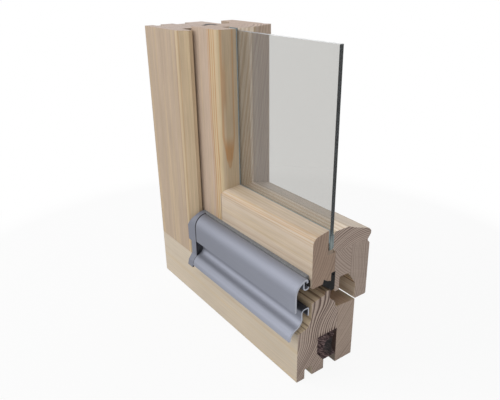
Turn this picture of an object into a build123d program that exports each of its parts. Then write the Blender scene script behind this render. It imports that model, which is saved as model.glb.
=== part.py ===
from build123d import *
from math import cos, radians, sin
import os

# Corner section of an inward-opening laminated timber window, cut away to show how it is made.
# Millimetres. The section is drawn with x along the sill from the jamb's outer side, y into the
# room from the frame's outer face, and z up from the sill's underside. It is then centred.

# Extent of the section: where the sill, the jamb, the sash and the pane are cut off
section_width = 248.0
section_height = 288.5
sash_height = 291.5
pane_height = 290.0

# Frame: depth and the glue line of its two boards
frame_depth = 68.0
frame_outer_board = 47.0

# Grooves along the underside of the sill and the outer side of the jamb
front_foot = 9.0
front_groove_width = 9.0
front_groove_depth = 10.0
middle_foot = 14.0
rear_groove_width = 15.0
rear_groove_depth = 9.5

# Sill section, heights above its underside
sill_face_height = 52.0
sill_slope_run = 11.0
sill_slope_rise = 2.5
rail_seat_depth = 15.0
rail_seat_foot = 62.0
sill_cove_radius = 6.0
rail_seat_height = 16.0
sill_top_rise = 3.0
ridge_front = 30.0
ridge_height = 84.0
ridge_width = 6.2
ridge_drop = 9.0
sill_bevel_run = 6.3
sill_bevel_drop = 5.5
hardware_wall = 44.0
rebate_floor_rise = 1.5
inner_face_height = 61.5

# Insulating core let into the outer board of the sill, behind the rear groove
core_front = 23.5
core_height = 29.0
core_corner_height = 11.0
core_recess = 6.0

# The uprights carry the same inner profile, this much nearer to the outer edge
upright_shift = 23.0

# Outer leaf of the jamb, which the sash closes behind
leaf_thickness = 12.0
leaf_overlap = 6.0
leaf_shoulder_run = 10.0
leaf_shoulder_depth = 8.0
leaf_gap = 2.0

# Sash: depth, glue lines of its three boards, and widths
sash_depth = 68.0
sash_outer_board = 26.0
sash_middle_board = 20.0
sash_air = 9.0
sash_face_width = 50.0
sash_round_radius = 7.0
sash_slope_rise = 3.2
glazing_lip = 17.2
glass_rebate = 23.0
sash_bottom_round = 1.6

# Underside of the sash: seal groove, tongue, hardware groove and inner flange
seal_groove_width = 4.8
seal_groove_height = 8.0
seal_notch_run = 9.5
seal_notch_height = 4.4
tongue_width = 5.5
tongue_length = 13.0
hardware_groove_width = 11.0
hardware_bevel_drop = 15.0
flange_thickness = 14.5
flange_gap = 0.8
flange_round = 1.2
bead_notch_run = 2.5
bead_notch_height = 3.0

# Glass, its tapes and its setting blocks
pane_thickness = 4.0
tape_thickness = 1.0
tape_height = 12.0
setting_block_height = 4.0
setting_block_length = 40.0
setting_block_inset = 45.0

# Glazing bead
bead_height = 19.7
bead_front_round = 2.6
bead_flat = 17.8
bead_shoulder_run = 7.0
bead_shoulder_drop = 3.3
bead_back_height = 10.5
bead_nose = 1.0
bead_nose_height = 6.0
bead_heel = 2.5
bead_toe = 3.0
bead_shoulder_round = 10.0
bead_knee_round = 3.0
bead_nose_round = 2.0

# Weather seal in the sash groove
seal_reach = 1.0
seal_bore_radius = 1.1
seal_bore_drop = 2.4
seal_wing_lip = 0.8

# Aluminium rain rail: the cover on the sash and the skirt on the sill
rail_wall = 1.8
cover_projection = 4.0
cover_radius = 13.4
cover_lip_drop = 17.0
cover_spring_drop = 1.3
cover_bow_angle = 82.0
crown_radius = 1.3
back_wall_length = 1.8
channel_height = 7.6
channel_width = 3.9
channel_wall = 1.3
jaw_radius = 2.4
jaw_reach = 1.0
jaw_tip = 1.8
gasket_clearance = 0.2
gasket_stem = 2.0
gasket_lip_height = 6.2
gasket_recess = 2.0
top_seal_height = 3.8
top_seal_round = 0.8
top_seal_recess = 4.0
skirt_projection = 10.0
skirt_spring_height = 67.9
skirt_cove_radius = 9.5
skirt_bull_radius = 10.0
skirt_slope = 70.0
skirt_tip_lean = 12.0
skirt_tip_length = 2.5
skirt_hook_height = 76.4
skirt_hook_wall = 1.3
skirt_hook_round = 3.5
skirt_leg_round = 1.0
skirt_leg_gap = 3.2
skirt_leg_length = 8.6
skirt_foot_recess = 6.0

# End cap of the rain rail
cap_gap = 0.5
cap_rail_gap = 0.8
cap_band = 10.5
cap_wing = 5.5
cap_wing_drop_below_lip = 3.0
cap_back_gap = 0.6
cap_wall = 2.0
cap_waist_drop = 9.5
cap_flare_height = 5.9
cap_tip_drop = 3.2
cap_slant_foot = 90.0
cap_slant_run = 8.2
cap_slant_rise = 12.3

# Depths and heights that follow from the sizes above
rear_groove_start = front_foot + front_groove_width + middle_foot
ridge_back = ridge_front + ridge_width
rail_seat_top = rail_seat_foot + rail_seat_height
sash_front = leaf_thickness + leaf_gap
sash_back = sash_front + sash_depth
sash_underside = ridge_height + sash_air
lip_top = sash_underside + sash_face_width
rebate_floor = lip_top - glass_rebate
lip_back = sash_front + glazing_lip
pane_front = lip_back + tape_thickness
pane_back = pane_front + pane_thickness
bead_front = pane_back + tape_thickness
pane_bottom = rebate_floor + setting_block_height
bead_top = rebate_floor + bead_height
flange_underside = inner_face_height + flange_gap
seal_groove_front = ridge_back
seal_groove_back = seal_groove_front + seal_groove_width
seal_groove_top = sash_underside + seal_groove_height
tongue_back = seal_groove_back + tongue_width
tongue_end = sash_underside - tongue_length
flange_front = sash_back - flange_thickness
leaf_edge = sash_underside - upright_shift + leaf_overlap
leaf_face = leaf_edge - leaf_shoulder_run
cap_start = leaf_edge + cap_gap
rail_start = cap_start + cap_band
cover_lip = sash_underside - cover_lip_drop
cover_spring = sash_underside - cover_spring_drop
cover_centre = cover_radius - cover_projection
top_seal_start = leaf_edge + leaf_gap

# Box that the whole section fills, used to centre it on its base
foremost = -skirt_projection
rearmost = sash_back + bead_nose
centre = Location((-section_width / 2, -(foremost + rearmost) / 2, 0))


def outline(points):
    return make_face(Polyline(*points, close=True))


def rounded(face, corners, radius):
    """Rounds the corners of a face that lie at the given points."""
    near = [v for v in face.vertices() if any((v.center() - Vector(*c)).length < 0.01 for c in corners)]
    return fillet(near, radius)


def along_sill(face, start, end):
    """Runs a section of depth and height along the sill."""
    return extrude(Plane.YZ.offset(start) * face, amount=end - start)


mitre = Plane(origin=(0, 0, upright_shift), x_dir=(0, 1, 0), z_dir=(1, 0, -1))


def turned_up(solid):
    """Turns what runs along the sill into what runs up the jamb, about the mitre of the corner."""
    return mirror(solid, about=mitre)


def up_jamb(face, start, end):
    """Runs a section of depth and height up the jamb, between two heights."""
    return turned_up(along_sill(face, start - upright_shift, end - upright_shift))


def mitred_pair(face):
    """The same section along the sill and up the jamb, mitred at the corner."""
    bottom = split(along_sill(face, 0, section_width), bisect_by=mitre, keep=Keep.TOP)
    side = split(along_sill(face, 0, sash_height - upright_shift), bisect_by=mitre, keep=Keep.TOP)
    return bottom, turned_up(side)


def band(solid, front, back):
    """The board of a glued section between two glue lines."""
    size = 4 * (section_width + section_height)
    slab = Pos(0, (front + back) / 2, 0) * Box(size, back - front, size)
    return solid & slab


# Frame sections
def inner_profile():
    """Points of the frame's inner side, from the rail seat to the room: depth and height."""
    bevel_foot = ridge_height - ridge_drop - sill_bevel_drop
    return [
        (rail_seat_depth, rail_seat_top),
        (ridge_front, rail_seat_top + sill_top_rise),
        (ridge_front, ridge_height),
        (ridge_back, ridge_height),
        (ridge_back, ridge_height - ridge_drop),
        (ridge_back + sill_bevel_run, bevel_foot),
        (hardware_wall, inner_face_height + rebate_floor_rise),
        (frame_depth, inner_face_height),
    ]


def sill_section():
    slope_top = sill_face_height + sill_slope_rise
    face = outline(
        [(0, 0), (0, sill_face_height), (sill_slope_run, slope_top), (rail_seat_depth, rail_seat_foot)]
        + inner_profile()
        + [(frame_depth, 0)]
    )
    return rounded(face, [(sill_slope_run, slope_top)], sill_cove_radius)


def jamb_section():
    """Drawn like the sill, so that the outer edge of the jamb lies at the shift's height."""
    edge = upright_shift
    shoulder = leaf_face + edge
    tip = leaf_edge + edge
    face = outline(
        [(0, edge), (0, shoulder), (leaf_shoulder_depth, tip), (leaf_thickness, tip),
         (leaf_thickness, rail_seat_top)]
        + inner_profile()
        + [(frame_depth, edge)]
    )
    return rounded(face, [(0, shoulder)], leaf_shoulder_run / 2)


def grooves(base):
    """The two grooves of the outer edge, cut upwards from the given height."""
    front = Pos(front_foot, base) * Rectangle(
        front_groove_width, front_groove_depth, align=(Align.MIN, Align.MIN))
    rear = Pos(rear_groove_start, base) * Rectangle(
        rear_groove_width, rear_groove_depth, align=(Align.MIN, Align.MIN))
    return front + rear


def core_section():
    """The pocket in the outer board: it opens into the rear groove and ends at the glue line."""
    return outline([
        (core_front, rear_groove_depth + core_corner_height),
        (core_front, rear_groove_depth + core_height),
        (frame_outer_board, rear_groove_depth + core_height),
        (frame_outer_board, rear_groove_depth),
        (rear_groove_start, rear_groove_depth),
    ])


# Sash section
def sash_outer_profile():
    """Points of the sash's outer edge, from its outer face to the room."""
    wing = seal_groove_front - seal_notch_run
    return [
        (sash_front, sash_underside),
        (wing, sash_underside),
        (wing + 1, sash_underside + seal_notch_height),
        (wing + 5, sash_underside + seal_notch_height / 3),
        (seal_groove_front, sash_underside),
        (seal_groove_front, seal_groove_top),
        (seal_groove_back, seal_groove_top),
        (seal_groove_back, tongue_end),
        (tongue_back, tongue_end),
        (tongue_back, sash_underside),
        (tongue_back + hardware_groove_width, sash_underside),
        (flange_front, sash_underside - hardware_bevel_drop),
        (flange_front, flange_underside),
        (sash_back, flange_underside),
    ]


def sash_section():
    top_corner = (sash_front, lip_top - sash_slope_rise)
    notch_top = rebate_floor - bead_notch_height / 2
    face = outline(
        sash_outer_profile()
        + [(sash_back, notch_top - bead_notch_height),
           (sash_back - bead_notch_run, notch_top),
           (sash_back - bead_notch_run, rebate_floor),
           (lip_back, rebate_floor),
           (lip_back, lip_top),
           top_corner]
    )
    face = rounded(face, [top_corner], sash_round_radius)
    face = rounded(face, [(seal_groove_back, tongue_end), (tongue_back, tongue_end)], tongue_width / 3)
    face = rounded(face, [(flange_front, flange_underside), (sash_back, flange_underside)], flange_round)
    return rounded(face, [(sash_front, sash_underside)], sash_bottom_round)


def below_sash():
    """All that lies under the sash's outer edge, which trims the foot of the stile."""
    floor = -section_height
    return outline(
        [(sash_front - frame_depth, floor), (sash_front - frame_depth, sash_underside)]
        + sash_outer_profile()
        + [(sash_back + frame_depth, flange_underside), (sash_back + frame_depth, floor)]
    )


# Glazing
def bead_section():
    back = sash_back - bead_heel
    nose = rebate_floor + bead_nose_height
    front_top = (bead_front, bead_top)
    brow = (bead_front + bead_flat, bead_top)
    shoulder = (bead_front + bead_flat + bead_shoulder_run, bead_top - bead_shoulder_drop)
    knee = (back + 0.5, rebate_floor + bead_back_height)
    nose_top = (rearmost, nose + 1.5)
    nose_foot = (rearmost, nose - 1.5)
    face = outline([
        (bead_front, rebate_floor + bead_toe),
        front_top,
        brow,
        shoulder,
        knee,
        nose_top,
        nose_foot,
        (back, rebate_floor),
        (bead_front + bead_toe, rebate_floor),
    ])
    face = rounded(face, [brow, shoulder], bead_shoulder_round)
    face = rounded(face, [knee], bead_knee_round)
    face = rounded(face, [nose_top, nose_foot], bead_nose_round)
    return rounded(face, [front_top], bead_front_round)


def tape_section(front, top):
    return Pos(front, top - tape_height) * Rectangle(
        tape_thickness, tape_height, align=(Align.MIN, Align.MIN))


def glass_pane():
    left = pane_bottom - upright_shift
    return Pos(left, pane_front, pane_bottom) * Box(
        section_width - left, pane_thickness, pane_height - pane_bottom,
        align=(Align.MIN, Align.MIN, Align.MIN))


def setting_block(start):
    return Pos(start, lip_back, rebate_floor) * Box(
        setting_block_length, bead_front - lip_back, setting_block_height,
        align=(Align.MIN, Align.MIN, Align.MIN))


def seal_section():
    """A head in the groove, a stem that bears on the ridge, and a wing that slopes under the sash."""
    foot = ridge_height - seal_reach
    wing = seal_groove_front - seal_notch_run
    stem = outline([
        (seal_groove_front, seal_groove_top),
        (seal_groove_back, seal_groove_top),
        (seal_groove_back, foot + 1.0),
        (seal_groove_back - 1.0, foot),
        (ridge_back, foot),
        (ridge_back, ridge_height),
        (wing - seal_wing_lip, sash_underside - seal_wing_lip / 2),
        (wing, sash_underside),
        (wing + 1, sash_underside + seal_notch_height),
        (wing + 5, sash_underside + seal_notch_height / 3),
        (seal_groove_front, sash_underside),
    ])
    bore_height = seal_groove_top - seal_bore_drop
    bore_depth = (seal_groove_front + seal_groove_back) / 2
    return stem - Pos(bore_depth, bore_height) * Circle(seal_bore_radius)


# Rain rail
def cover_skin():
    """Centre lines of the cover: front wall, bow, crown and back wall."""
    front = -cover_projection + rail_wall / 2
    bow_radius = cover_radius - rail_wall / 2
    wall = Line((front, cover_lip), (front, cover_spring))
    bow = CenterArc((cover_centre, cover_spring), bow_radius, 180, -cover_bow_angle)
    crown = JernArc(bow @ 1, bow % 1, crown_radius, cover_bow_angle - 180)
    back_wall = Line(crown @ 1, crown @ 1 - Vector(0, back_wall_length))
    return wall, bow, crown, back_wall


def cover_back():
    """Depth and height where the crown meets the back wall, on its centre line."""
    end = cover_skin()[2] @ 1
    return end.X, end.Y


def cover_section():
    """The bowed front wall and, behind its top, the channel that grips the gasket."""
    back, top = cover_back()
    jaw_floor = top - channel_height
    jaw_front = back - channel_width
    jaw = FilletPolyline(
        (jaw_front, top + crown_radius / 2),
        (jaw_front, jaw_floor),
        (back + jaw_reach, jaw_floor),
        (back + jaw_reach, jaw_floor + jaw_tip),
        radius=[jaw_radius, channel_wall])
    return trace(cover_skin(), line_width=rail_wall) + trace(jaw, line_width=channel_wall)


def gasket_section():
    """Head in the cover's channel, and a lip that fills the space to the face of the sash."""
    back, top = cover_back()
    head_depth = channel_width - channel_wall / 2 - rail_wall / 2 - 2 * gasket_clearance
    head_height = channel_height - 6 * gasket_clearance - channel_wall / 2
    middle = back - rail_wall / 2 - gasket_clearance - head_depth / 2
    mouth = top - (channel_height + back_wall_length - jaw_tip) / 2
    lip_front = back + jaw_reach + channel_wall / 2 + gasket_clearance
    head = Pos(middle, top - head_height / 2 - 4 * gasket_clearance) * RectangleRounded(
        head_depth, head_height, head_depth / 2.2)
    stem = Pos(middle, mouth) * Rectangle(
        sash_front - middle, gasket_stem, align=(Align.MIN, Align.CENTER))
    lip = Pos(lip_front, top - back_wall_length - gasket_clearance) * Rectangle(
        sash_front - lip_front, gasket_lip_height, align=(Align.MIN, Align.MAX))
    return head + stem + lip


def top_seal_section():
    """A strip between the cover's back wall and the face of the sash."""
    back, top = cover_back()
    front = back + rail_wall / 2
    foot = top - back_wall_length
    strip = Pos(front, foot) * Rectangle(sash_front - front, top_seal_height, align=(Align.MIN, Align.MIN))
    return rounded(strip, [(front, foot + top_seal_height)], top_seal_round)


def skirt_ogee():
    """Centre lines of the skirt from its upright wall to its tip: cove, bull nose and tip."""
    slope = radians(skirt_slope)
    lean = radians(skirt_tip_lean)
    run = (skirt_cove_radius * (1 - cos(slope)) + skirt_bull_radius * (cos(lean) - cos(slope))
           + skirt_tip_length * sin(lean))
    wall = run - skirt_projection + rail_wall / 2 * cos(lean)
    cove = JernArc((wall, skirt_spring_height), (0, -1), skirt_cove_radius, -skirt_slope)
    bull = JernArc(cove @ 1, cove % 1, skirt_bull_radius, skirt_slope - skirt_tip_lean)
    tip = Line(bull @ 1, bull @ 1 + (bull % 1) * skirt_tip_length)
    return cove, bull, tip


def skirt_section():
    """A hook whose leg stands off the sill, and an ogee that throws the water clear."""
    ogee = skirt_ogee()
    wall = (ogee[0] @ 0).X - (rail_wall - skirt_hook_wall) / 2
    hook_top = skirt_hook_height - skirt_hook_wall / 2
    leg = rail_seat_depth - skirt_leg_gap - skirt_hook_wall / 2
    hook = FilletPolyline(
        (leg, skirt_hook_height - skirt_leg_length),
        (leg, hook_top),
        (wall, hook_top),
        (wall, skirt_spring_height),
        radius=[skirt_leg_round, skirt_hook_round])
    return trace(hook, line_width=skirt_hook_wall) + trace(ogee, line_width=rail_wall)


def skirt_foot():
    """The foot of the hook's leg, which bears on the sill behind the rail."""
    leg = rail_seat_depth - skirt_leg_gap - skirt_hook_wall / 2
    return Pos(leg, skirt_hook_height - skirt_leg_length) * Rectangle(
        rail_seat_depth - leg, skirt_hook_wall, align=(Align.MIN, Align.MIN))


def cap_silhouette():
    """Outline of the cap that closes the end of both rails."""
    back = sash_front - cap_back_gap
    bow = CenterArc((cover_centre, cover_spring), cover_radius, 180, -cover_bow_angle)
    top = bow @ 1
    waist = (-cover_projection, skirt_spring_height - cap_waist_drop)
    tip = (-skirt_projection, (skirt_ogee()[2] @ 1).Y - cap_tip_drop)
    edge = Polyline(
        top,
        (back, top.Y),
        (back, rail_seat_foot + 1.0),
        (sill_slope_run - 1.0, sill_face_height + sill_slope_rise + 1.0),
        (-cap_gap, sill_face_height + 0.6),
        (-cap_gap, tip[1] + 3.4),
        (tip[0] + 1.2, tip[1]),
        tip,
        (tip[0] + 1.3, tip[1] + cap_flare_height),
        waist,
        (-cover_projection, cover_spring))
    return make_face([bow, edge])


def cap_corner(inset):
    """What the cap loses at its upper left corner: a slant, then an upright edge. The inset moves
    the cut into the cap."""
    foot = cap_start - cap_wing + inset
    head = foot + cap_slant_run
    steep = cap_slant_rise / cap_slant_run
    below = cap_slant_foot - cap_wing * steep
    above = section_height
    cut = outline([
        (foot - cap_wing, below),
        (head, cap_slant_foot + cap_slant_rise),
        (head, above),
        (foot - cap_wing, above),
    ])
    return extrude(Plane.XZ * cut, amount=frame_depth, both=True)


def end_cap(jamb):
    """A moulded cap: end wall, a skin flush with the rails, and a wing over the jamb's shoulder."""
    face = cap_silhouette()
    skin = face - offset(face, -cap_wall)
    collar_end = rail_start - cap_rail_gap
    wall = along_sill(face, cap_start, cap_start + cap_wall)
    collar = along_sill(skin, cap_start, collar_end)
    closing = along_sill(face, cap_start, collar_end) & cap_corner(cap_wall)
    reach = Pos(-cover_projection, cover_lip - cap_wing_drop_below_lip) * Rectangle(
        cover_centre + cover_projection, section_height, align=(Align.MIN, Align.MIN))
    wing = along_sill(skin & reach, cap_start - cap_wing, cap_start)
    strip = along_sill(offset(top_seal_section(), cap_gap), cap_start - cap_wing, rail_start)
    shell = wall + collar + closing + (wing - Pos(cap_gap, -cap_gap, 0) * jamb)
    return shell - cap_corner(0) - strip


# The frame: the sill runs through, and the jamb is coped to stand on it
sill_solid = along_sill(sill_section(), 0, section_width)
jamb_solid = up_jamb(jamb_section(), sill_face_height, section_height)
jamb_coped = jamb_solid - sill_solid
under_grooves = along_sill(grooves(0), 0, section_width)
side_grooves = up_jamb(grooves(upright_shift), 0, section_height)
pocket = along_sill(core_section(), front_groove_depth, section_width)
core = along_sill(core_section(), front_groove_depth, section_width - core_recess)
sill = sill_solid - under_grooves - side_grooves - pocket
jamb = jamb_coped - side_grooves

# The sash: the stile runs through, and the rail is coped to butt against it
rail_root = (seal_groove_top + rebate_floor) / 2 - upright_shift
stile_full = up_jamb(sash_section(), 0, sash_height)
stile = stile_full - along_sill(below_sash(), -section_width, section_width)
rail = along_sill(sash_section(), rail_root, section_width) - stile_full

sash_glue_1 = sash_front + sash_outer_board
sash_glue_2 = sash_glue_1 + sash_middle_board

bead_bottom, bead_side = mitred_pair(bead_section())
outer_tape_bottom, outer_tape_side = mitred_pair(tape_section(lip_back, lip_top))
inner_tape_bottom, inner_tape_side = mitred_pair(tape_section(pane_back, bead_top - bead_front_round))
seal_bottom, seal_side = mitred_pair(seal_section())

skirt = (along_sill(skirt_section(), rail_start, section_width)
         + along_sill(skirt_foot(), rail_start, section_width - skirt_foot_recess))

nodes = {
    "sill_outer_board": band(sill, 0, frame_outer_board),
    "sill_inner_board": band(sill, frame_outer_board, frame_depth),
    "sill_core_strip": core,
    "jamb_outer_board": band(jamb, 0, frame_outer_board),
    "jamb_inner_board": band(jamb, frame_outer_board, frame_depth),
    "sash_rail_outer_board": band(rail, sash_front, sash_glue_1),
    "sash_rail_middle_board": band(rail, sash_glue_1, sash_glue_2),
    "sash_rail_inner_board": band(rail, sash_glue_2, sash_back),
    "sash_stile_outer_board": band(stile, sash_front, sash_glue_1),
    "sash_stile_middle_board": band(stile, sash_glue_1, sash_glue_2),
    "sash_stile_inner_board": band(stile, sash_glue_2, sash_back),
    "glazing_bead_bottom": bead_bottom,
    "glazing_bead_side": bead_side,
    "glass_pane": glass_pane(),
    "glazing_tape_outer_bottom": outer_tape_bottom,
    "glazing_tape_outer_side": outer_tape_side,
    "glazing_tape_inner_bottom": inner_tape_bottom,
    "glazing_tape_inner_side": inner_tape_side,
    "setting_block_corner": setting_block(rail_root + setting_block_inset),
    "setting_block_end": setting_block(section_width - setting_block_length),
    "weather_seal_bottom": seal_bottom,
    "weather_seal_side": seal_side,
    "rain_rail_cover": along_sill(cover_section(), rail_start, section_width),
    "rain_rail_gasket": along_sill(gasket_section(), rail_start, section_width - gasket_recess),
    "rain_rail_top_seal": along_sill(
        top_seal_section(), top_seal_start, section_width - top_seal_recess),
    "rain_rail_skirt": skirt,
    "rain_rail_end_cap": end_cap(jamb),
}

os.makedirs("parts", exist_ok=True)
for name, solid in nodes.items():
    export_step(centre * solid, f"parts/{name}.step")
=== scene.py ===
import math

import bmesh
import bpy
from mathutils import Matrix, Vector, noise


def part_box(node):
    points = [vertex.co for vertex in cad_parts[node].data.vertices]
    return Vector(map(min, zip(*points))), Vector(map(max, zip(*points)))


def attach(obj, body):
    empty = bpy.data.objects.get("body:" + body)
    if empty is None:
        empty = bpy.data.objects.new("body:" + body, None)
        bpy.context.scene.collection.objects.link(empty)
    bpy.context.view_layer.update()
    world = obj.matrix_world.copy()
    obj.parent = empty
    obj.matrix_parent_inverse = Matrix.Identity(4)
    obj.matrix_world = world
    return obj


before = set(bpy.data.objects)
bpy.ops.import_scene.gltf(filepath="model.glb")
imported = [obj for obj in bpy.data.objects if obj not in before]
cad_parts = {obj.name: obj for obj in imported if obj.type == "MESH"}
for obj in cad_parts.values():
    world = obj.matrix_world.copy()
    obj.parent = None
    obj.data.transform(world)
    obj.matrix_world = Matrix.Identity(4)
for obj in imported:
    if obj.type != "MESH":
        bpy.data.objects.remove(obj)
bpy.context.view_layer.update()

# The section's own coordinates: millimetres along the sill, into the room and up, from the outer
# lower corner of the frame. Every place below is given in them.
MM = 0.001
section_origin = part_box("sill_outer_board")[0]


def srgb(red, green, blue):
    """A colour written as bytes, 0 to 255, as linear light."""
    def linear(value):
        share = value / 255
        return share / 12.92 if share <= 0.04045 else ((share + 0.055) / 1.055) ** 2.4
    return (linear(red), linear(green), linear(blue), 1.0)


# Colours of the timber: earlywood and latewood on planed faces, and both again on sawn ends
cream = srgb(196, 182, 162)
cream_late = srgb(176, 154, 126)
sand = srgb(201, 184, 164)
sand_late = srgb(174, 148, 119)
rose = srgb(186, 165, 146)
rose_late = srgb(162, 135, 112)
tan = srgb(177, 156, 134)
tan_late = srgb(150, 127, 103)
gold = srgb(196, 173, 134)
amber = srgb(178, 128, 74)
# Pale yellow painted light on the beads' sides towards the glass
bead_side_painted_light = srgb(250, 233, 213)
stain = srgb(74, 52, 44)
end_light = srgb(178, 160, 147)
end_dark = srgb(74, 54, 48)

# Tints of the sawn ends: the tops of the jamb and of the stile, which are painted light that
# brightens them, the cuts of the sill's boards and the cut of the rail's outer board
jamb_top_painted_light = (1.55, 1.62, 1.70)
stile_top_painted_light = (1.45, 1.45, 1.45)
sill_cut_tint = (1.12, 1.12, 1.12)
sill_back_cut_tint = (1.0, 0.98, 0.95)
rail_cut_tint = (0.86, 0.78, 0.70)

# Glue lines of the frame and the sash, by depth, and half the width of their dark line and of the
# strip on which the arrises stay sharp
frame_seams = [47.0]
sash_seams = [40.0, 60.0]
seam_line = (0.26, 0.06)
seam_strip = (1.3, 0.9)

# Planed timber: how far the rings waver finely, the radius of the eased arrises and the relief
ring_fine_wave = 0.22
arris_radius = 0.7 * MM
timber_relief = 0.07 * MM

# Sawn timber: the slants of the saw marks on the cuts and on the tops, for each millimetre of
# depth, and half the distance between two marks on the tops
cut_slant = 0.35
top_slant = 0.3
saw_pitch = 1.3

# Rings of the sill's outer board: the height at which they stand upright, the power and the size of
# their curves below and above it, how far the curves reach, the lean beyond them, the depths over
# which the upper curve sets in, and a distance that keeps their radius above 0
upright_height = 42.0
curve_power = 1.85
low_curve = -0.034
low_reach = 22.0
low_lean = -0.87
high_curve = 0.036
high_reach = 25.0
high_blend = 16.0
high_lean = 0.1
high_depths = (8.0, 44.0)
ring_distance = 200.0

# Pocket of the dark core at the sawn end of the sill: its depths and heights, the run and the rise
# of its slanted lower corner, and how far along it starts
pocket_depths = (23.5, 47.0)
pocket_heights = (9.5, 38.5)
pocket_corner = (8.5, 11.0)
pocket_start = 242.0

# Torn fibres in the pocket: the hole among them, how far they fall for each millimetre of depth,
# how far they are left standing below, and the least and the most that they stand out
torn_hole = (43.0, 18.5)
torn_slant = 0.85
torn_foot = 5.5
torn_least = 0.1
torn_most = 5.7

# Amber flame on the slope of the sash's stile: the depth of its middle, half its width, the height
# of its tip and how far above that it is at its full width
flame_middle = 21.8
flame_half = 5.9
flame_tip = 161.0
flame_taper = 34.0

# Amber lines beside the stile's rounding and along the rail's: place, width and strength
stile_lines = ((99.0, 0.40, 0.55), (101.8, 0.55, 0.85), (105.6, 0.45, 0.70), (109.0, 0.55, 0.85))
rail_lines = ((132.2, 0.30, 0.35), (134.4, 0.35, 0.45), (136.8, 0.45, 0.50), (138.0, 0.30, 0.45),
              (139.6, 0.30, 0.35))

# Depth of the arris on the beads, and the heights between which the pane's edge is painted paler
# as light on it
bead_arris = 53.0
painted_light_edge_heights = (150.0, 128.0)

# Painted light on the aluminium: its level at the jamb and its rise for each millimetre along. By
# height, the painted highlight on the foot of the skirt and on its shelf, and the painted shade in
# its cove, the last two with widths.
metal_painted_light = 0.76
metal_painted_light_rise = 0.0014
skirt_foot_highlight = (56.6, 54.0)
skirt_shelf_highlight = (64.2, 1.2)
skirt_cove_shade = (60.2, 1.3)

# Shadow gap between the end cap and the rails, and the place along from which a face is a sawn one
cap_gap = (86.1, 87.1)
metal_cut = (240.0, 243.0)


# Nodes
def feed(tree, socket, value):
    """Joins a socket to another one, or sets its number or colour."""
    if isinstance(value, bpy.types.NodeSocket):
        tree.links.new(value, socket)
    else:
        socket.default_value = value


def maths(tree, operation, *values):
    node = tree.nodes.new("ShaderNodeMath")
    node.operation = operation
    for socket, value in zip(node.inputs, values):
        feed(tree, socket, value)
    return node.outputs[0]


def product(tree, *factors):
    result = factors[0]
    for factor in factors[1:]:
        result = maths(tree, "MULTIPLY", result, factor)
    return result


def vector_maths(tree, operation, *values):
    node = tree.nodes.new("ShaderNodeVectorMath")
    node.operation = operation
    sockets = [s for s in node.inputs if s.enabled]
    for socket, value in zip(sockets, values):
        feed(tree, socket, value)
    return [s for s in node.outputs if s.enabled][0]


def scaled(tree, vector, factor):
    """The vector or colour times a number."""
    node = tree.nodes.new("ShaderNodeVectorMath")
    node.operation = "SCALE"
    feed(tree, node.inputs[0], vector)
    feed(tree, node.inputs["Scale"], factor)
    return node.outputs[0]


def combine(tree, x, y, z):
    node = tree.nodes.new("ShaderNodeCombineXYZ")
    for socket, value in zip(node.inputs, (x, y, z)):
        feed(tree, socket, value)
    return node.outputs[0]


def separate(tree, vector):
    node = tree.nodes.new("ShaderNodeSeparateXYZ")
    feed(tree, node.inputs[0], vector)
    return list(node.outputs)


def smooth_step(tree, low, high, value):
    """0 below low, 1 above high, and a smooth rise between them; low may be the larger."""
    node = tree.nodes.new("ShaderNodeMapRange")
    node.interpolation_type = "SMOOTHSTEP"
    falling = low > high
    for name, number in (("From Min", min(low, high)), ("From Max", max(low, high)),
                         ("To Min", float(falling)), ("To Max", float(not falling))):
        node.inputs[name].default_value = number
    feed(tree, node.inputs["Value"], value)
    return node.outputs["Result"]


def distance_from(tree, value, place):
    return maths(tree, "ABSOLUTE", maths(tree, "SUBTRACT", value, place))


def line_at(tree, value, place, width):
    """1 on a line at a place, and 0 from twice its width away."""
    return smooth_step(tree, 2 * width, 0.4 * width, distance_from(tree, value, place))


def blend(tree, kind, factor, first, second):
    """A mix of two numbers, vectors or colours, or of two shaders."""
    first_socket, output = {"FLOAT": (2, 0), "VECTOR": (4, 1), "RGBA": (6, 2), "SHADER": (1, 0)}[kind]
    node = tree.nodes.new("ShaderNodeMixShader" if kind == "SHADER" else "ShaderNodeMix")
    if kind != "SHADER":
        node.data_type = kind
    feed(tree, node.inputs[0], factor)
    feed(tree, node.inputs[first_socket], first)
    feed(tree, node.inputs[first_socket + 1], second)
    return node.outputs[output]


def blend_colour(tree, factor, first, second):
    return blend(tree, "RGBA", factor, first, second)


def noise_of(tree, vector, detail=2.0, roughness=0.5):
    node = tree.nodes.new("ShaderNodeTexNoise")
    node.inputs["Scale"].default_value = 1.0
    node.inputs["Detail"].default_value = detail
    node.inputs["Roughness"].default_value = roughness
    feed(tree, node.inputs["Vector"], vector)
    return node.outputs["Fac"]


def stretched_noise(tree, place, sizes, detail=2.0, roughness=0.5):
    """Noise with cells of these sizes along the three directions of a place."""
    shares = [maths(tree, "DIVIDE", value, size) for value, size in zip(place, sizes)]
    return noise_of(tree, combine(tree, *shares), detail, roughness)


def section_place(tree):
    """The point being shaded, in the section's millimetres: along, depth and height."""
    place = tree.nodes.new("ShaderNodeTexCoord").outputs["Object"]
    moved = vector_maths(tree, "SUBTRACT", place, tuple(section_origin))
    return separate(tree, scaled(tree, moved, 1 / MM))


def facing(tree, axis):
    """How squarely the surface faces along an axis: 0 edge on, 1 square on."""
    normal = tree.nodes.new("ShaderNodeNewGeometry").outputs["Normal"]
    return maths(tree, "ABSOLUTE", separate(tree, normal)[axis])


def new_material(name):
    material = bpy.data.materials.new(name)
    material.use_nodes = True
    tree = material.node_tree
    return material, tree, tree.nodes["Principled BSDF"]


def show(tree, shader):
    feed(tree, tree.nodes["Material Output"].inputs["Surface"], shader)


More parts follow.
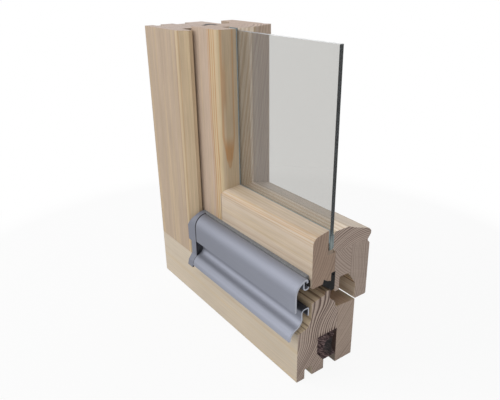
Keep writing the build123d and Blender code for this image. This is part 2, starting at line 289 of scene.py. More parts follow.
def bumped(tree, surface, height, distance, normal=None):
    """Raises the surface by a height of 0 to 1 times a distance in metres."""
    bump = tree.nodes.new("ShaderNodeBump")
    bump.inputs["Distance"].default_value = distance
    feed(tree, bump.inputs["Height"], height)
    if normal is not None:
        feed(tree, bump.inputs["Normal"], normal)
    feed(tree, surface.inputs["Normal"], bump.outputs["Normal"])


def eased_normal(tree, radius):
    """The surface's normal, with the arrises eased to a small radius."""
    bevel = tree.nodes.new("ShaderNodeBevel")
    bevel.samples = 6
    bevel.inputs["Radius"].default_value = radius
    return bevel.outputs["Normal"]


def looked_at(tree):
    """1 for rays from the camera, off gloss and through glass, and 0 for what lights the section."""
    rays = tree.nodes.new("ShaderNodeLightPath")
    return maths(tree, "MAXIMUM", rays.outputs["Is Camera Ray"], maths(
        tree, "MAXIMUM", rays.outputs["Is Glossy Ray"], rays.outputs["Is Transmission Ray"]))


# Growth rings
def about_pith(pith, lean=(0.0, 0.0)):
    """Growth rings about a pith, given by its depth and its place across the board, and by how far
    it drifts for each millimetre of length."""
    def rings(tree, depth, across, length):
        offsets = [maths(tree, "SUBTRACT", value, maths(tree, "MULTIPLY_ADD", length, slope, start))
                   for value, start, slope in zip((depth, across), pith, lean)]
        squares = [maths(tree, "MULTIPLY", offset, offset) for offset in offsets]
        return maths(tree, "SQRT", maths(tree, "ADD", *squares))
    return rings


def bent_rings(tree, depth, across, length):
    """The sill's rings: they lean over at its foot, stand upright half way up and lean again above,
    more so towards the room."""
    below = maths(tree, "MAXIMUM", maths(tree, "SUBTRACT", upright_height, across), 0.0)
    curved = maths(tree, "MINIMUM", below, low_reach)
    straight = maths(tree, "SUBTRACT", below, curved)
    low_bend = maths(tree, "MULTIPLY", maths(tree, "POWER", curved, curve_power), low_curve)
    low_bend = maths(tree, "MULTIPLY_ADD", straight, low_lean, low_bend)
    above = maths(tree, "MAXIMUM", maths(tree, "SUBTRACT", across, upright_height), 0.0)
    above = maths(tree, "SMOOTH_MIN", above, high_reach, high_blend)
    high_bend = product(tree, maths(tree, "POWER", above, curve_power), high_curve,
                        smooth_step(tree, *high_depths, depth))
    bend = maths(tree, "ADD", maths(tree, "ADD", low_bend, high_bend),
                 maths(tree, "MULTIPLY", above, high_lean))
    return maths(tree, "ADD", maths(tree, "SUBTRACT", depth, bend), ring_distance)


def latewood_of(tree, radius, spacing, uneven, bold, seed):
    """Latewood, 0 to 1, of rings at a radius. Each year has its own width and strength."""
    growth = noise_of(tree, combine(tree, maths(tree, "DIVIDE", radius, 9.0), seed, 0.0), 1.0)
    phase = maths(tree, "ADD", maths(tree, "DIVIDE", radius, spacing),
                  maths(tree, "MULTIPLY", growth, uneven))
    ring = maths(tree, "FRACT", phase)
    year = tree.nodes.new("ShaderNodeTexWhiteNoise")
    year.noise_dimensions = "1D"
    feed(tree, year.inputs["W"], maths(tree, "ADD", maths(tree, "FLOOR", phase), seed))
    strength = maths(tree, "MULTIPLY_ADD", year.outputs["Value"], 0.65, 0.35)
    latewood = maths(tree, "MULTIPLY", strength, maths(
        tree, "MULTIPLY", smooth_step(tree, 0.34, 0.88, ring), smooth_step(tree, 1.0, 0.91, ring)))
    for place in bold:
        latewood = maths(tree, "MAXIMUM", latewood, maths(
            tree, "MULTIPLY", line_at(tree, radius, place, 0.28), 0.7))
    return latewood


# Timber
def sawn_end(tree, depth, across, latewood, end_show, end_tint_and_light, seed):
    """Open cells, sharp dark latewood and slanting saw marks: their colour and their relief."""
    cells = noise_of(tree, combine(tree, maths(tree, "MULTIPLY", depth, 2.6),
                                   maths(tree, "MULTIPLY", across, 2.6), seed), 2.0, 0.7)
    slanted = maths(tree, "MULTIPLY_ADD", depth, cut_slant, across)
    saw = noise_of(tree, combine(tree, maths(tree, "MULTIPLY", slanted, 1.4),
                                 maths(tree, "MULTIPLY", depth, 0.05), seed), 2.0)
    pale, dark = [tuple(channel * tone for channel, tone in zip(colour, end_tint_and_light)) + (1.0,)
                  for colour in (end_light, end_dark)]
    sharp = maths(tree, "MINIMUM", maths(tree, "MULTIPLY", latewood, 1.7 * end_show), end_show)
    shade = maths(tree, "ADD", maths(tree, "MULTIPLY_ADD", cells, 0.50, 0.60),
                  maths(tree, "MULTIPLY_ADD", saw, 0.26, 0.02))
    relief = maths(tree, "ADD", maths(tree, "MULTIPLY", cells, 0.8), maths(tree, "MULTIPLY", saw, 0.9))
    return scaled(tree, blend_colour(tree, sharp, pale, dark), shade), relief


def pocket_stain(tree, depth, height, latewood):
    """How far the dark of the core has crept up the latewood above it, on the sill's sawn end."""
    above = maths(tree, "SUBTRACT", height, pocket_heights[1])
    near = product(tree, smooth_step(tree, 4.6, 0.8, above), smooth_step(tree, -0.5, 0.0, above))
    across = product(tree, smooth_step(tree, 22.5, 26.0, depth), smooth_step(tree, 47.2, 46.8, depth))
    return product(tree, near, across, smooth_step(tree, 0.03, 0.22, latewood))


def glued_and_eased(tree, colour, depth, seams):
    """Adds glue lines, and arrises painted a little paler, partly as wear and partly as a painted
    highlight on their rounding. It returns the colour and the normal.
    """
    plain = tree.nodes.new("ShaderNodeNewGeometry").outputs["Normal"]
    eased = eased_normal(tree, arris_radius)
    for seam in seams:
        gap = distance_from(tree, depth, seam)
        line = maths(tree, "MULTIPLY", smooth_step(tree, *seam_line, gap), 0.45)
        colour = blend_colour(tree, line, colour, stain)
        eased = blend(tree, "VECTOR", smooth_step(tree, *seam_strip, gap), eased, plain)
    turn = vector_maths(tree, "DOT_PRODUCT", eased, plain)
    # Arrises painted paler: wear, and a painted highlight on the rounding
    wear_and_highlight = smooth_step(tree, 0.995, 0.80, turn)
    return scaled(tree, colour, maths(tree, "MULTIPLY_ADD", wear_and_highlight, 0.10, 1.0)), eased


def pine(name, upright, rings, spacing, colours, ring_show=0.7, end_show=0.8, wave=1.4, seams=(),
         seed=0.0, end_tint_and_light=(1.0, 1.0, 1.0), figure_and_painted_light=None, grain=1.0, bold=(), uneven=2.2):
    """A planed pine board. rings places the growth rings, which are spacing apart and wander by wave.

    colours are those of early and late wood. ring_show and end_show are how strongly the rings
    show on planed faces and on sawn ends, and bold gives the places of a few darker ones. grain is
    how strongly the fibres show, and uneven how much the years differ in width. figure adds the
    board's own markings and, on some boards, painted light and shade.
    """
    material, tree, surface = new_material(name)
    along, depth, height = section_place(tree)
    across, length, axis = (along, height, 2) if upright else (height, along, 0)

    def streaks(width, stretch, shift, detail=2.0):
        """Noise drawn out along the board, so wide across it and so long along it."""
        place = combine(tree, maths(tree, "DIVIDE", depth, width),
                        maths(tree, "DIVIDE", across, width),
                        maths(tree, "MULTIPLY_ADD", length, 1 / stretch, shift + seed))
        return noise_of(tree, place, detail, 0.55)

    # Growth rings, wavy over the whole board and again finely
    slow = maths(tree, "MULTIPLY_ADD", streaks(34.0, 240.0, 3.1, 1.0), 2 * wave, -wave)
    fine = maths(tree, "MULTIPLY_ADD", streaks(6.0, 60.0, 11.7, 1.0),
                 2 * ring_fine_wave, -ring_fine_wave)
    radius = maths(tree, "ADD", rings(tree, depth, across, length), maths(tree, "ADD", slow, fine))
    latewood = latewood_of(tree, radius, spacing, uneven, bold, seed)

    # Planed faces: rings as lines, fibres in three widths, and a warmer tone in places
    fibres = streaks(0.40, 22.0, 5.0)
    strands = streaks(1.4, 110.0, 17.0)
    tones = streaks(6.0, 260.0, 29.0)
    mottle = streaks(14.0, 70.0, 41.0)
    face = blend_colour(tree, maths(tree, "MULTIPLY", latewood, ring_show), *colours)
    warm = smooth_step(tree, 0.50, 0.72, tones)
    face = blend_colour(tree, maths(tree, "MULTIPLY", warm, 0.45), face, gold)
    if figure_and_painted_light is not None:
        for mask, colour in figure_and_painted_light(tree, along, depth, height, strands, latewood):
            face = blend_colour(tree, mask, face, colour)
    shade = maths(tree, "ADD", maths(tree, "MULTIPLY", fibres, 0.50), maths(
        tree, "MULTIPLY_ADD", strands, 0.36, maths(tree, "MULTIPLY", mottle, 0.26)))
    face = scaled(tree, face, maths(tree, "MULTIPLY_ADD", shade, grain, 1.0 - 0.56 * grain))
    relief = maths(tree, "ADD", maths(tree, "MULTIPLY", fibres, 0.7),
                   maths(tree, "MULTIPLY", latewood, 0.3))

    # Sawn ends: the tops show their saw marks as paler and darker stripes, painted light and shade
    # of ridges, and the core's dark shows on the sill's cut
    end, end_relief = sawn_end(tree, depth, across, latewood, end_show, end_tint_and_light, seed)
    if upright:
        slanted = maths(tree, "MULTIPLY_ADD", depth, top_slant, across)
        teeth = maths(tree, "PINGPONG", slanted, saw_pitch)
        end = scaled(tree, end, maths(tree, "MULTIPLY_ADD", teeth, 0.34 / saw_pitch, 0.83))
    else:
        end = blend_colour(tree, pocket_stain(tree, depth, height, latewood), end, stain)
    sawn = smooth_step(tree, 0.60, 0.80, facing(tree, axis))

    colour, eased = glued_and_eased(tree, blend_colour(tree, sawn, face, end), depth, seams)
    feed(tree, surface.inputs["Base Color"], colour)
    dull = maths(tree, "MULTIPLY_ADD", fibres, 0.16, 0.42)
    feed(tree, surface.inputs["Roughness"], blend(tree, "FLOAT", sawn, dull, 0.80))
    surface.inputs["Specular IOR Level"].default_value = 0.35
    bumped(tree, surface, blend(tree, "FLOAT", sawn, relief, end_relief), timber_relief, eased)
    return material


# Markings of single boards, and on some boards painted light and shade, each as a list of masks
# and colours laid over the planed face
def sill_rings_and_painted_light(tree, along, depth, height, strands, latewood):
    """Rings that come out as dark lines on the shaped faces behind the sill's front, with painted
    light on those faces and on their cove, which lie in the rail's shade.
    """
    shaped = product(tree, smooth_step(tree, 0.4, 1.2, depth), smooth_step(tree, 47.0, 50.0, height))
    cove = product(tree, shaped, smooth_step(tree, 15.5, 13.0, depth))
    # The first two entries are painted light on the shaped faces and the cove
    return [
        (product(tree, shaped, 0.70), srgb(216, 190, 156)),
        (product(tree, cove, 0.70), srgb(240, 218, 184)),
        (product(tree, shaped, smooth_step(tree, 0.15, 0.60, latewood), 0.65), srgb(96, 66, 50)),
    ]


def sill_back_painted_shade(tree, along, depth, height, strands, latewood):
    """Painted shade: warm brown in the chamber behind the drip, and dark on the wall of the core's
    pocket.
    """
    chamber = product(tree, smooth_step(tree, 46.0, 50.0, height), smooth_step(tree, 67.0, 60.0, depth))
    wall = product(tree, smooth_step(tree, 47.6, 47.2, depth), smooth_step(tree, 39.5, 38.0, height),
                   smooth_step(tree, pocket_start - 3.0, pocket_start - 1.0, along))
    foot = maths(tree, "MULTIPLY_ADD", smooth_step(tree, 8.0, 10.0, height), 0.6, 0.4)
    patchy = maths(tree, "MULTIPLY_ADD", strands, 0.5, 0.7)
    # Both entries are painted shade: in the chamber and on the pocket's wall
    return [
        (product(tree, chamber, 0.55), srgb(176, 138, 112)),
        (product(tree, wall, foot, patchy), srgb(76, 63, 61)),
    ]


def bead_rings_and_painted_light(tree, along, depth, height, strands, latewood):
    """Yellower wood on the sides of the beads that lean towards the glass, painted paler as light
    on these sides, which lie in shade behind the pane.
    """
    side = smooth_step(tree, bead_arris + 0.6, bead_arris - 0.6, depth)
    # The first entry is painted light on the sides towards the glass
    return [
        (product(tree, side, 0.85), bead_side_painted_light),
        (product(tree, side, smooth_step(tree, 0.05, 0.45, latewood), 0.35), srgb(188, 150, 102)),
    ]


def groove_figure(tree, along, depth, height, strands, latewood):
    """Amber and dark lines on the walls of the hardware groove and under the sash."""
    low = product(tree, smooth_step(tree, 92.0, 86.0, height), smooth_step(tree, 67.6, 67.0, depth))
    return [
        (product(tree, low, 0.5), srgb(204, 168, 120)),
        (product(tree, low, smooth_step(tree, 0.06, 0.40, latewood), 0.75), srgb(92, 62, 46)),
    ]


def jamb_figure(tree, along, depth, height, strands, latewood):
    """A pale gold band with two amber lines beside the jamb's shoulder, and warmer wood on it."""
    sway = maths(tree, "MULTIPLY_ADD", strands, 1.6, maths(tree, "ADD", along, -0.8))
    shoulder = smooth_step(tree, 62.0, 67.0, sway)
    middle = distance_from(tree, sway, 65.2)
    band = smooth_step(tree, 1.8, 0.6, middle)
    outside = smooth_step(tree, 13.0, 12.0, depth)
    return [
        (product(tree, shoulder, outside, 0.60), srgb(202, 180, 146)),
        (product(tree, band, outside, 0.50), srgb(204, 182, 144)),
        (product(tree, line_at(tree, middle, 2.2, 0.35), outside, 0.40), amber),
    ]


def stile_figure(tree, along, depth, height, strands, latewood):
    """Pale and amber lines beside the stile's rounding, and a flame of amber that ends on it."""
    outside = smooth_step(tree, 16.5, 15.5, depth)
    drift = smooth_step(tree, 220.0, 140.0, height)
    sway = maths(tree, "ADD", along, maths(tree, "MULTIPLY_ADD", strands, 1.4, -0.7))
    sway = maths(tree, "SUBTRACT", sway, maths(tree, "MULTIPLY", drift, 2.5))
    pale = smooth_step(tree, 99.0, 104.0, sway)
    result = [(product(tree, pale, outside, 0.60), srgb(200, 178, 136))]
    for place, width, share in stile_lines:
        result.append((product(tree, line_at(tree, sway, place, width), outside, share), amber))

    # The flame: two lines that run down the slope and close in a pointed fill
    slope = product(tree, smooth_step(tree, 14.6, 15.4, depth), smooth_step(tree, 31.6, 31.2, depth))
    wavering = maths(tree, "ADD", depth, maths(tree, "MULTIPLY_ADD", strands, 1.6, -0.8))
    aside = maths(tree, "SUBTRACT", wavering, flame_middle)
    above = maths(tree, "DIVIDE", maths(tree, "SUBTRACT", height, flame_tip), flame_taper)
    taper = maths(tree, "MINIMUM", maths(tree, "MAXIMUM", above, 0.0), 1.0)
    width = maths(tree, "MULTIPLY", maths(tree, "POWER", taper, 0.6), flame_half)
    edge = maths(tree, "SUBTRACT", maths(tree, "ABSOLUTE", aside), width)
    reach = smooth_step(tree, -0.1, 0.1, above)
    within = smooth_step(tree, 0.5, -0.5, edge)
    rim = product(tree, within, smooth_step(tree, -2.2, -0.8, edge), 0.60)
    fill = product(tree, within, smooth_step(tree, 1.05, 0.55, above),
                   smooth_step(tree, -0.1, 0.35, above), 0.80)
    flank = product(tree, within, smooth_step(tree, 0.0, -4.0, aside),
                    smooth_step(tree, 1.5, 2.1, above), smooth_step(tree, 3.4, 2.6, above), 0.50)
    strongest = maths(tree, "MAXIMUM", rim, maths(tree, "MAXIMUM", fill, flank))
    patchy = maths(tree, "MULTIPLY_ADD", strands, 0.6, 0.6)
    beside = line_at(tree, aside, -flame_half - 1.2, 0.9)
    return result + [
        (product(tree, slope, 0.60), srgb(186, 166, 134)),
        (product(tree, slope, beside, 0.5), srgb(206, 188, 152)),
        (product(tree, slope, reach, patchy, strongest), amber),
    ]


def rail_figure(tree, along, depth, height, strands, latewood):
    """Thin amber lines along the rail's rounded arris."""
    sway = maths(tree, "MULTIPLY_ADD", strands, 1.6, maths(tree, "MULTIPLY_ADD", along, -0.016, maths(
        tree, "ADD", height, 2.0)))
    return [(product(tree, line_at(tree, sway, place, width), share), srgb(186, 144, 92))
            for place, width, share in rail_lines]


# Other materials
def torn_core():
    """Dark resinous timber, torn so that its fibres slant down past a hole, which is painted dark as
    its shade.
    """
    material, tree, surface = new_material("dark_core")
    along, depth, height = section_place(tree)
    aside = maths(tree, "SUBTRACT", torn_hole[0], depth)
    above = maths(tree, "SUBTRACT", height, torn_hole[1])
    away = vector_maths(tree, "LENGTH", combine(tree, aside, above, 0.0))
    crossing = maths(tree, "MULTIPLY_ADD", depth, torn_slant, height)
    running = maths(tree, "MULTIPLY_ADD", height, -torn_slant, depth)
    fibres = stretched_noise(tree, (crossing, running, along), (1.5, 9.0, 7.0), 2.0, 0.6)
    torn = blend_colour(tree, smooth_step(tree, 0.40, 0.66, fibres),
                        srgb(68, 54, 55), srgb(142, 120, 118))
    # The hole is painted dark as the shade inside it
    hole_painted_shade = maths(tree, "MULTIPLY", smooth_step(tree, 10.5, 4.5, away), 0.8)
    feed(tree, surface.inputs["Base Color"], blend_colour(tree, hole_painted_shade, torn, srgb(54, 54, 54)))
    surface.inputs["Roughness"].default_value = 0.85
    surface.inputs["Specular IOR Level"].default_value = 0.2
    bumped(tree, surface, fibres, 0.4 * MM)
    return material


def float_glass():
    """Clear float glass: a grey veil through its faces, and green-blue at its sawn edges, which are
    painted paler and less clear towards the foot as light on them.
    """
    material, tree, surface = new_material("float_glass")
    tint = srgb(199, 198, 195)
    lit_tint = srgb(236, 237, 235)
    edge = smooth_step(tree, 0.75, 0.35, facing(tree, 1))
    place = section_place(tree)
    wave = stretched_noise(tree, place, (30.0, 0.9, 11.0))
    upper = blend_colour(tree, smooth_step(tree, 0.35, 0.7, wave),
                         srgb(38, 60, 72), srgb(84, 116, 124))
    # The edge's paler, less clear part towards the foot is painted light
    lower = blend_colour(tree, smooth_step(tree, 0.35, 0.6, wave),
                         srgb(124, 140, 139), srgb(164, 178, 175))
    low = smooth_step(tree, *painted_light_edge_heights, place[2])
    edge_colour = blend_colour(tree, low, upper, lower)
    feed(tree, surface.inputs["Base Color"], blend_colour(tree, edge, tint, edge_colour))
    clearness = blend(tree, "FLOAT", product(tree, edge, low), 1.0, 0.35)
    feed(tree, surface.inputs["Transmission Weight"], clearness)
    surface.inputs["IOR"].default_value = 1.5
    feed(tree, surface.inputs["Roughness"], blend(tree, "FLOAT", edge, 0.0, 0.22))

    # Light on its way to a lamp passes with little loss
    rays = tree.nodes.new("ShaderNodeLightPath")
    clear = tree.nodes.new("ShaderNodeBsdfTransparent")
    clear.inputs["Color"].default_value = lit_tint
    show(tree, blend(tree, "SHADER", rays.outputs["Is Shadow Ray"],
                     surface.outputs[0], clear.outputs[0]))
    return material


def brushed_metal():
    """Matt anodised aluminium, with the faint lines of the extrusion along it."""
    material, tree, surface = new_material("anodised_aluminium")
    along, depth, height = place = section_place(tree)
    lines = stretched_noise(tree, place, (120.0, 0.35, 0.35), 3.0, 0.6)
    grains = stretched_noise(tree, place, (0.25, 0.25, 0.25), 1.0)
    cloud = stretched_noise(tree, place, (60.0, 14.0, 14.0))
    base = blend_colour(tree, lines, srgb(127, 130, 140), srgb(141, 144, 155))
    base = scaled(tree, base, maths(tree, "MULTIPLY_ADD", cloud, 0.12, 0.94))

    # Painted light along the rail, painted highlights on the skirt's foot and shelf, and painted
    # shade in its cove
    tone = maths(tree, "MULTIPLY_ADD", along, metal_painted_light_rise, metal_painted_light)
    for mask, change in ((smooth_step(tree, *skirt_foot_highlight, height), 0.16),
                         (line_at(tree, height, *skirt_shelf_highlight), 0.18),
                         (line_at(tree, height, *skirt_cove_shade), -0.17)):
        tone = maths(tree, "MULTIPLY_ADD", mask, change, tone)
    base = scaled(tree, base, tone)

    # Painted shade where the cover and the skirt face each other, and a painted shadow line next to
    # the end cap; pale where sawn
    painted_shade = product(tree, smooth_step(tree, 2.0, 5.0, depth), smooth_step(tree, 81.0, 78.0, height),
                     smooth_step(tree, 67.0, 70.0, height))
    cap_gap_painted_shade = smooth_step(tree, cap_gap[1] + 0.9, cap_gap[1] + 0.5, along)
    painted_shade = maths(tree, "MULTIPLY", maths(tree, "MAXIMUM", painted_shade, cap_gap_painted_shade), 0.85)
    base = blend_colour(tree, painted_shade, base, srgb(52, 52, 56))
    sawn = product(tree, smooth_step(tree, 0.6, 0.9, facing(tree, 0)),
                   smooth_step(tree, *metal_cut, along))
    base = blend_colour(tree, sawn, base, srgb(172, 175, 184))
    feed(tree, surface.inputs["Base Color"], base)
    surface.inputs["Metallic"].default_value = 0.75
    feed(tree, surface.inputs["Roughness"], maths(tree, "MULTIPLY_ADD", lines, 0.10, 0.56))
    relief = maths(tree, "ADD", maths(tree, "MULTIPLY", lines, 0.7),
                   maths(tree, "MULTIPLY", grains, 0.3))
    bumped(tree, surface, relief, 0.02 * MM, eased_normal(tree, 0.3 * MM))
    return material


def moulded_plastic():
    """Grey plastic with a fine leathery grain."""
    material, tree, surface = new_material("grey_plastic")
    along, depth, height = section_place(tree)
    place = combine(tree, along, depth, height)
    cells = tree.nodes.new("ShaderNodeTexVoronoi")
    cells.inputs["Scale"].default_value = 2.4
    feed(tree, cells.inputs["Vector"], place)
    cloud = noise_of(tree, scaled(tree, place, 0.12))
    base = blend_colour(tree, cloud, srgb(105, 108, 120), srgb(117, 120, 132))
    # Painted shade on the end face at the gap to the rails
    shaded = smooth_step(tree, cap_gap[0] - 0.3, cap_gap[0], along)
    feed(tree, surface.inputs["Base Color"], blend_colour(tree, shaded, base, srgb(52, 52, 58)))
    feed(tree, surface.inputs["Roughness"], maths(tree, "MULTIPLY_ADD", cloud, 0.14, 0.46))
    bumped(tree, surface, cells.outputs["Distance"], 0.05 * MM, eased_normal(tree, 0.3 * MM))
    return material


def rubber(name, colour, dusty, roughness):
    """Extruded rubber: fine lines along it and a dusty bloom."""
    material, tree, surface = new_material(name)
    dust = stretched_noise(tree, section_place(tree), (3.0, 1.2, 3.0), 3.0, 0.7)
    bloom = blend_colour(tree, smooth_step(tree, 0.4, 0.75, dust), colour, dusty)
    feed(tree, surface.inputs["Base Color"], bloom)
    surface.inputs["Roughness"].default_value = roughness
    surface.inputs["Specular IOR Level"].default_value = 0.12
    bumped(tree, surface, dust, 0.06 * MM)
    return material


def block_plastic():
    """Pale setting block, with the ridges of its extrusion."""
    material, tree, surface = new_material("setting_block")
    grain = stretched_noise(tree, section_place(tree), (8.0, 0.8, 0.8))
    base = blend_colour(tree, grain, srgb(126, 108, 92), srgb(158, 140, 122))
    feed(tree, surface.inputs["Base Color"], base)
    surface.inputs["Roughness"].default_value = 0.6
    bumped(tree, surface, grain, 0.08 * MM)
    return material


def dress(nodes, material):
    """Gives one or more nodes of the part their material."""
    for node in nodes:
        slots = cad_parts[node].data.materials
        if len(slots) == 0:
            slots.append(material)
        for place in range(len(slots)):
            slots[place] = material


# Boards of the frame
dress(["sill_outer_board"], pine(
    "pine_sill_outer", False, bent_rings, 2.8, (cream, cream_late), ring_show=0.30, end_show=0.86,
    wave=1.0, seams=frame_seams, seed=1.3, end_tint_and_light=sill_cut_tint, figure_and_painted_light=sill_rings_and_painted_light, grain=0.6,
    bold=(220.4, 222.6), uneven=1.3))
dress(["sill_inner_board"], pine(
    "pine_sill_inner", False, about_pith((-60.0, 140.0)), 3.0, (cream, cream_late), ring_show=0.5,
    end_show=0.26, seams=frame_seams, seed=7.9, end_tint_and_light=sill_back_cut_tint, figure_and_painted_light=sill_back_painted_shade))
dress(["jamb_outer_board"], pine(
    "pine_jamb_outer", True, about_pith((20.0, -60.0)), 2.3, (tan, tan_late), ring_show=0.65,
    end_show=0.5, wave=2.0, seams=frame_seams, seed=13.1, end_tint_and_light=jamb_top_painted_light, figure_and_painted_light=jamb_figure))
dress(["jamb_inner_board"], pine(
    "pine_jamb_inner", True, about_pith((100.0, -30.0)), 2.0, (tan, tan_late), ring_show=0.6,
    end_show=0.4, seams=frame_seams, seed=19.7, end_tint_and_light=jamb_top_painted_light))

# Boards of the sash
dress(["sash_rail_outer_board"], pine(
    "pine_rail_outer", False, about_pith((-46.0, 138.0), (0.0, 0.03)), 2.8, (sand, sand_late),
    ring_show=0.45, end_show=0.30, seams=sash_seams, seed=29.0, end_tint_and_light=rail_cut_tint,
    figure_and_painted_light=rail_figure, grain=0.75))
dress(["sash_rail_middle_board"], pine(
    "pine_rail_middle", False, about_pith((118.0, 172.0)), 2.2, (sand, sand_late), ring_show=0.6,
    end_show=0.36, seams=sash_seams, seed=31.2, figure_and_painted_light=groove_figure))
dress(["sash_rail_inner_board"], pine(
    "pine_rail_inner", False, about_pith((180.0, 108.0)), 1.9, (sand, sand_late), ring_show=0.5,
    end_show=0.36, seams=sash_seams, seed=37.5, figure_and_painted_light=groove_figure))
dress(["sash_stile_outer_board"], pine(
    "pine_stile_outer", True, about_pith((25.0, 12.0)), 1.5, (rose, rose_late), ring_show=0.45,
    end_show=0.4, wave=1.0, seams=sash_seams, seed=43.8, end_tint_and_light=stile_top_painted_light,
    figure_and_painted_light=stile_figure))
dress(["sash_stile_middle_board"], pine(
    "pine_stile_middle", True, about_pith((90.0, 30.0)), 1.6, (rose, rose_late), ring_show=0.6,
    end_show=0.4, seams=sash_seams, seed=47.1, end_tint_and_light=stile_top_painted_light))
dress(["sash_stile_inner_board"], pine(
    "pine_stile_inner", True, about_pith((70.0, 190.0)), 1.8, (rose, rose_late), ring_show=0.6,
    end_show=0.4, seams=sash_seams, seed=53.6, end_tint_and_light=stile_top_painted_light))
dress(["glazing_bead_bottom"], pine(
    "pine_bead_bottom", False, about_pith((75.0, 60.0)), 2.0, (sand, sand_late), ring_show=0.6,
    end_show=0.7, wave=1.0, seed=59.9, end_tint_and_light=sill_cut_tint, figure_and_painted_light=bead_rings_and_painted_light))
dress(["glazing_bead_side"], pine(
    "pine_bead_side", True, about_pith((-40.0, 60.0), (0.17, 0.0)), 2.6, (rose, rose_late),
    ring_show=0.8, end_show=0.5, seed=61.4, end_tint_and_light=stile_top_painted_light, figure_and_painted_light=bead_rings_and_painted_light))

# Everything else
core_timber = torn_core()
dress(["sill_core_strip"], core_timber)
dress(["glass_pane"], float_glass())
dress(["rain_rail_cover", "rain_rail_skirt"], brushed_metal())
dress(["rain_rail_end_cap"], moulded_plastic())
dress(["weather_seal_bottom", "weather_seal_side", "rain_rail_gasket"],
      rubber("black_rubber", srgb(14, 14, 15), srgb(38, 38, 40), 0.5))
dress(["rain_rail_top_seal"],
      rubber("grey_rubber", srgb(120, 122, 125), srgb(142, 144, 147), 0.62))
dress(["glazing_tape_outer_bottom", "glazing_tape_outer_side",
       "glazing_tape_inner_bottom", "glazing_tape_inner_side"],
      rubber("glazing_tape", srgb(136, 148, 150), srgb(160, 170, 170), 0.7))
dress(["setting_block_corner", "setting_block_end"], block_plastic())


def place_piece(name, data):
    piece = bpy.data.objects.new(name, data)
    bpy.context.scene.collection.objects.link(piece)
    return piece


# Torn face of the dark core: fibres stand up around the hole in its pocket at the sawn end
def torn_relief(depth, height):
    """How far the torn fibres stand out of the pocket's back at a place, in millimetres."""
    aside, above = depth - torn_hole[0], height - torn_hole[1]
    away = math.hypot(aside, 0.8 * above)
    rise = min(max((away - 3.0) / 11.0, 0.0), 1.0)
    crossing, running = height + torn_slant * depth, depth - torn_slant * height
    ridge = 1.0 - 2.0 * abs(noise.noise((0.42 * crossing, 0.07 * running, 5.0)))
    shreds = noise.noise((0.9 * crossing, 0.25 * running, 3.0))
    tatters = noise.noise((2.1 * depth, 2.1 * height, 9.0))
    relief = 0.4 + 3.4 * rise + (0.3 + rise) * (1.5 * ridge - 0.6) + 0.7 * shreds + 0.25 * tatters
    standing = min(max((pocket_heights[0] + 2.8 - height) / 2.2, 0.0), 1.0)
    relief = relief + standing * (torn_foot + 0.4 * shreds - relief)
    return min(max(relief, torn_least), torn_most)


def torn_face():
    rows, columns = 72, 58
    edge_gap = 0.12
    let_in = 0.3
    corner_run, corner_rise = pocket_corner
    lowest, highest = pocket_heights[0] + edge_gap, pocket_heights[1] - edge_gap
    shape = bmesh.new()

    def corner(out, depth, height):
        place = Vector((pocket_start + out, depth, height)) * MM + Vector(section_origin)
        return shape.verts.new(place)

    grid = []
    for row in range(rows + 1):
        height = lowest + (highest - lowest) * row / rows
        cut_off = max(0.0, (pocket_heights[0] + corner_rise - height) * corner_run / corner_rise)
        start = pocket_depths[0] + cut_off + edge_gap
        step = (pocket_depths[1] - edge_gap - start) / columns
        grid.append([(start + step * column, height) for column in range(columns + 1)])
    front = [[corner(torn_relief(*place), *place) for place in line] for line in grid]
    rim = [(0, c) for c in range(columns)] + [(r, columns) for r in range(rows)]
    rim += [(rows, c) for c in range(columns, 0, -1)] + [(r, 0) for r in range(rows, 0, -1)]
    back = [corner(-let_in, *grid[r][c]) for r, c in rim]
    for row in range(rows):
        for column in range(columns):
            shape.faces.new((front[row][column], front[row][column + 1],
                             front[row + 1][column + 1], front[row + 1][column]))
    for place, (r, c) in enumerate(rim):
        after = (place + 1) % len(rim)
        next_r, next_c = rim[after]
        shape.faces.new((front[r][c], back[place], back[after], front[next_r][next_c]))
    shape.faces.new(back)
    bmesh.ops.recalc_face_normals(shape, faces=shape.faces)
    mesh = bpy.data.meshes.new("sill_core_torn_face")
    shape.to_mesh(mesh)
    shape.free()
    mesh.materials.append(core_timber)
    piece = place_piece("sill_core_torn_face", mesh)
    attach(piece, "root")


torn_face()


# Floor: white far away, with the section's own soft shadow near it. Sizes are in metres.
def floor():
    half = 30.0
    near, far = 0.10, 0.45
    corners = [(-half, -half, 0), (half, -half, 0), (half, half, 0), (-half, half, 0)]
    mesh = bpy.data.meshes.new("floor")
    mesh.from_pydata(corners, [], [(0, 1, 2, 3)])
    material, tree, surface = new_material("floor_white")
    surface.inputs["Base Color"].default_value = (0.80, 0.80, 0.80, 1.0)
    surface.inputs["Roughness"].default_value = 0.9
    surface.inputs["Specular IOR Level"].default_value = 0.0
    place = tree.nodes.new("ShaderNodeTexCoord").outputs["Object"]
    away = vector_maths(tree, "LENGTH", place)
    white = tree.nodes.new("ShaderNodeEmission")
    seen = looked_at(tree)
    share = maths(tree, "MAXIMUM", maths(tree, "MULTIPLY", smooth_step(tree, near, far, away), seen),
                  maths(tree, "MULTIPLY", seen, 0.90))
    show(tree, blend(tree, "SHADER", share, surface.outputs[0], white.outputs[0]))
    mesh.materials.append(material)
    piece = place_piece("floor", mesh)


floor()


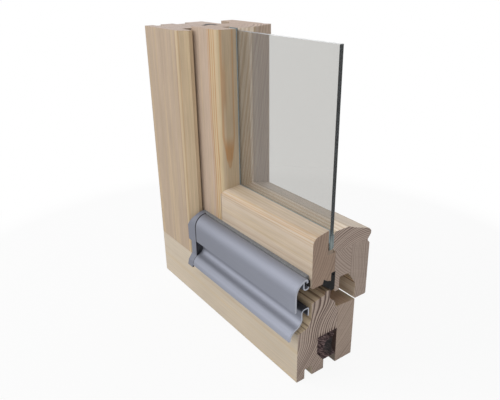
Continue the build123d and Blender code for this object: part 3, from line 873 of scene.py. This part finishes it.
# World and lamps
def studio():
    world = bpy.data.worlds.new("studio")
    bpy.context.scene.world = world
    world.use_nodes = True
    tree = world.node_tree
    tree.nodes.clear()
    fill = tree.nodes.new("ShaderNodeBackground")
    fill.inputs["Color"].default_value = (0.97, 0.98, 1.0, 1.0)
    fill.inputs["Strength"].default_value = 0.42
    white = tree.nodes.new("ShaderNodeBackground")
    white.inputs["Color"].default_value = (1.0, 1.0, 1.0, 1.0)
    output = tree.nodes.new("ShaderNodeOutputWorld")
    feed(tree, output.inputs["Surface"],
         blend(tree, "SHADER", looked_at(tree), fill.outputs[0], white.outputs[0]))


def softbox(name, direction, distance, power):
    """A square lamp that lights the middle of the section from a direction. It isn't seen through
    the pane."""
    lamp = bpy.data.lights.new(name, "AREA")
    lamp.size = 1.6
    lamp.energy = power
    piece = place_piece(name, lamp)
    piece.visible_transmission = False
    target = Vector((0.0, 0.0, 0.12))
    piece.location = target + Vector(direction).normalized() * distance
    piece.rotation_euler = (target - piece.location).to_track_quat("-Z", "Y").to_euler()


studio()
softbox("key", (-0.60, -0.80, 0.45), 2.2, 24.0)
softbox("fill", (0.80, -0.55, 0.35), 2.4, 10.0)
softbox("top", (0.1, -0.3, 1.0), 2.2, 9.0)
softbox("back", (-0.55, 0.85, 0.25), 2.4, 8.0)


# Camera, fitted to the photograph: it stands to the right of the cut, a little above. Its axes and
# its place, in metres from the section's origin, come from that fit.
def camera():
    right = Vector((0.586446, 0.809841, -0.015443))
    up = Vector((-0.317031, 0.247038, 0.915677))
    back = Vector((0.745367, -0.532099, 0.401619))
    place = Vector(section_origin) + Vector((0.520239, -0.242279, 0.338331))
    lens = bpy.data.cameras.new("camera")
    lens.sensor_width = 36.0
    lens.lens = 37.613
    lens.clip_start = 0.01
    piece = place_piece("camera", lens)
    turn = Matrix((right, up, back)).transposed().to_4x4()
    piece.matrix_world = Matrix.Translation(place) @ turn
    bpy.context.scene.camera = piece


camera()
bpy.context.scene.view_settings.view_transform = "Standard"
